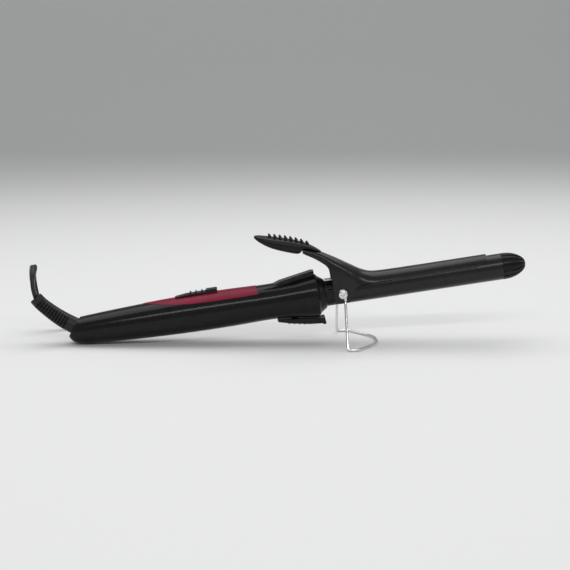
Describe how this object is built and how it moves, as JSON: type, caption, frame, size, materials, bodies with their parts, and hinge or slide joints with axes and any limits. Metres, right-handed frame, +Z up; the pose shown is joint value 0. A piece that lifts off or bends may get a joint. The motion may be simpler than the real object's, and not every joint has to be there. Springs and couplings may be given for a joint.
{
  "type": "curling iron",
  "caption": "Mains curling iron with a sprung clamp over a heated barrel, a thumb pad, a sliding switch, a wire stand and a tied cord with a plug.",
  "frame": {"origin": "middle of the iron's footprint on the surface that it stands on, without its cord", "axes": "+X runs along the iron towards the barrel's tip, +Y to the far side, +Z up; the barrel slopes up 8.5 degrees towards the tip"},
  "size_m": [0.3656, 0.1436, 0.0801],
  "materials": {
    "gloss_black": "gloss",
    "accent": "gloss",
    "black_plastic": "satin",
    "boot_rubber": "matte",
    "cord_rubber": "satin",
    "barrel_coat": "gloss",
    "clamp_coat": "gloss",
    "bright_wire": "polished",
    "screw_steel": "plated",
    "spring_steel": "bright",
    "core_aluminium": "mill",
    "ceramic": "fired",
    "film": "film",
    "brass": "plain",
    "wire_sleeve": "woven",
    "tie_plastic": "matte"
  },
  "bodies": {
    "root": {"handle_shell_near": "gloss_black", "handle_shell_far": "gloss_black", "accent_panel": "accent", "switch_body": "black_plastic", "switch_terminals": "brass", "handle_screws": "screw_steel", "butt_cap": "gloss_black", "bend_relief": "boot_rubber", "cord_clamp": "black_plastic", "cord_clamp_base": "black_plastic", "cord_clamp_screws": "screw_steel", "cord_inside": "cord_rubber", "nose_collar": "black_plastic", "latch_spring": "spring_steel", "barrel_neck": "black_plastic", "barrel_tube": "barrel_coat", "tip_cap": "black_plastic", "heat_block_upper": "core_aluminium", "heat_block_lower": "core_aluminium", "ptc_heater": "ceramic", "heater_film": "film", "thermal_fuse": "ceramic", "lead_wires": "wire_sleeve", "clamp_spring": "spring_steel", "pivot_bushes": "spring_steel", "pivot_screws": "screw_steel", "power_cord": "cord_rubber", "cord_hank": "cord_rubber", "hank_tie": "tie_plastic", "plug_body": "cord_rubber", "plug_pins": "brass"},
    "switch": {"switch_slider": "black_plastic"},
    "latch": {"release_latch": "black_plastic"},
    "clamp": {"clamp_jaw": "clamp_coat", "thumb_pad": "black_plastic"},
    "stand": {"wire_stand": "bright_wire"}
  },
  "joints": [
    {"name": "clamp_hinge", "type": "hinge", "parent": "root", "child": "clamp", "pos_m": [0.04543, 0, 0.03801], "axis": [0, -1, 0], "range_deg": [0, 18], "stiffness_Nm_per_rad": 0.3, "springref_deg": -17.19, "deforming": ["clamp_spring"]},
    {"name": "stand_hinge", "type": "hinge", "parent": "root", "child": "stand", "pos_m": [0.04543, 0, 0.03801], "axis": [0, -1, 0], "range_deg": [-72, 45]},
    {"name": "switch_slide", "type": "slide", "parent": "root", "child": "switch", "axis": [0.989, 0, 0.1478], "range_m": [0, 0.005]},
    {"name": "latch_slide", "type": "slide", "parent": "root", "child": "latch", "axis": [-0.989, 0, -0.1478], "range_m": [0, 0.004], "stiffness_N_per_m": 300, "springref_m": -0.003, "deforming": ["latch_spring"]}
  ]
}
